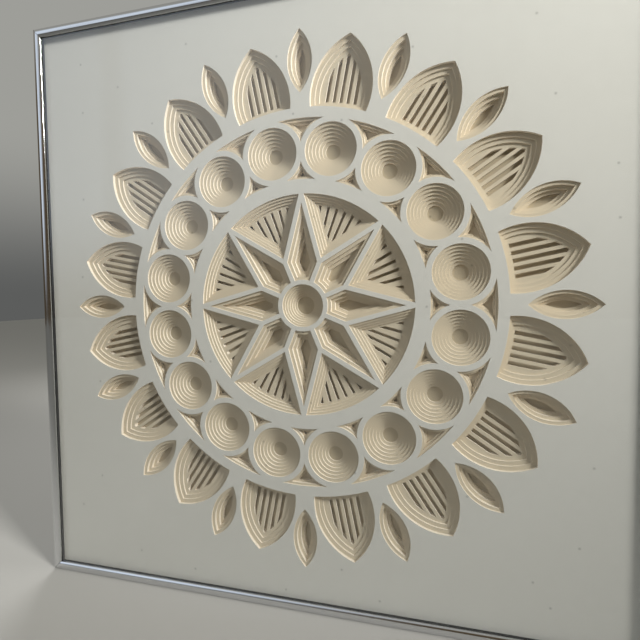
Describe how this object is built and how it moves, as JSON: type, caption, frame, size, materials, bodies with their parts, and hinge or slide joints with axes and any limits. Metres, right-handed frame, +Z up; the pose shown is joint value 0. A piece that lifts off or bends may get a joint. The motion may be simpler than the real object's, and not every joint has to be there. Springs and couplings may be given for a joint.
{
  "type": "framed layered paper art",
  "caption": "Square metal section frame with glazing over a relief of stacked cut card sheets: a round rosette of star, roundels and slatted petals in stepped windows.",
  "frame": {"origin": "centre of the bounding box, on the rosette's axis", "axes": "+Z up, +Y to the wall behind the picture, so the picture faces -Y and +X is to the viewer's right"},
  "size_m": [0.6156, 0.0366, 0.6156],
  "materials": {
    "frame_metal": "polished and clear anodised",
    "glazing": "clear polished",
    "spacer": "matte black",
    "face_card": "matte uncoated",
    "relief_card": "matte uncoated",
    "ground_card": "matte uncoated",
    "backing": "hardboard, smooth side out",
    "hardware": "zinc plated",
    "screw": "blackened",
    "spring": "bright spring steel"
  },
  "bodies": {
    "root": {"rail_top": "frame_metal", "rail_bottom": "frame_metal", "rail_left": "frame_metal", "rail_right": "frame_metal", "glazing": "glazing", "spacer_top": "spacer", "spacer_bottom": "spacer", "spacer_left": "spacer", "spacer_right": "spacer", "face_sheet": "face_card", "relief_sheet_2": "relief_card", "relief_sheet_3": "relief_card", "relief_sheet_4": "relief_card", "relief_sheet_5": "relief_card", "relief_sheet_6": "relief_card", "relief_sheet_7": "relief_card", "ground_sheet": "ground_card", "backing_board": "backing", "corner_angle_1": "hardware", "corner_angle_2": "hardware", "corner_angle_3": "hardware", "corner_angle_4": "hardware", "corner_shim_1": "hardware", "corner_shim_2": "hardware", "corner_shim_3": "hardware", "corner_shim_4": "hardware", "corner_screws": "screw", "spring_clip_1": "spring", "spring_clip_2": "spring", "spring_clip_3": "spring", "spring_clip_4": "spring", "spring_clip_5": "spring", "spring_clip_6": "spring", "spring_clip_7": "spring", "spring_clip_8": "spring", "hanger_left": "hardware", "hanger_right": "hardware"}
  },
  "joints": []
}
